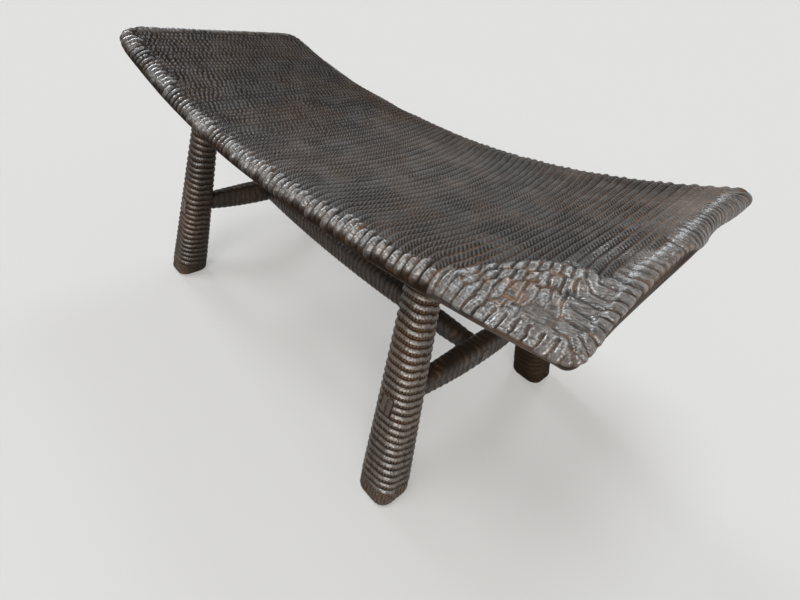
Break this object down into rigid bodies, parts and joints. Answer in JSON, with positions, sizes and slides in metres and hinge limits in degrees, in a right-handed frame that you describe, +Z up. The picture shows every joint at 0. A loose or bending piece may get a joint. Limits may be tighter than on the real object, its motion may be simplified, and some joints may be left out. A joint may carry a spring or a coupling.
{
  "type": "bench",
  "caption": "Carved wooden bench: a curved, ridged slab seat on splayed square legs, tied by bellied stretchers set out in an H and held by wedged through tenons.",
  "frame": {"origin": "on the floor, under the middle of the seat", "axes": "+X along the bench, +Y across it towards the back, +Z up"},
  "size_m": [1.2, 0.5284, 0.5391],
  "materials": {
    "seat_teak": "dark brown-black stained teak, gouged in ridges, satin polish with orange-brown wear",
    "leg_teak": "dark brown stained teak, gouged in rings, satin polish",
    "stretcher_teak": "dark brown stained teak, gouged across its length, satin polish",
    "wedge_teak": "end grain of teak wedges, paler brown, matt"
  },
  "bodies": {
    "root": {"seat_slab": "seat_teak", "leg_front_right": "leg_teak", "leg_back_right": "leg_teak", "leg_front_left": "leg_teak", "leg_back_left": "leg_teak", "end_stretcher_right": "stretcher_teak", "end_stretcher_left": "stretcher_teak", "long_stretcher": "stretcher_teak", "leg_tenon_wedge_front_right": "wedge_teak", "leg_tenon_wedge_back_right": "wedge_teak", "leg_tenon_wedge_front_left": "wedge_teak", "leg_tenon_wedge_back_left": "wedge_teak", "end_tenon_wedge_front_right": "wedge_teak", "end_tenon_wedge_back_right": "wedge_teak", "end_tenon_wedge_front_left": "wedge_teak", "end_tenon_wedge_back_left": "wedge_teak", "long_tenon_wedge_right": "wedge_teak", "long_tenon_wedge_left": "wedge_teak"}
  },
  "joints": []
}
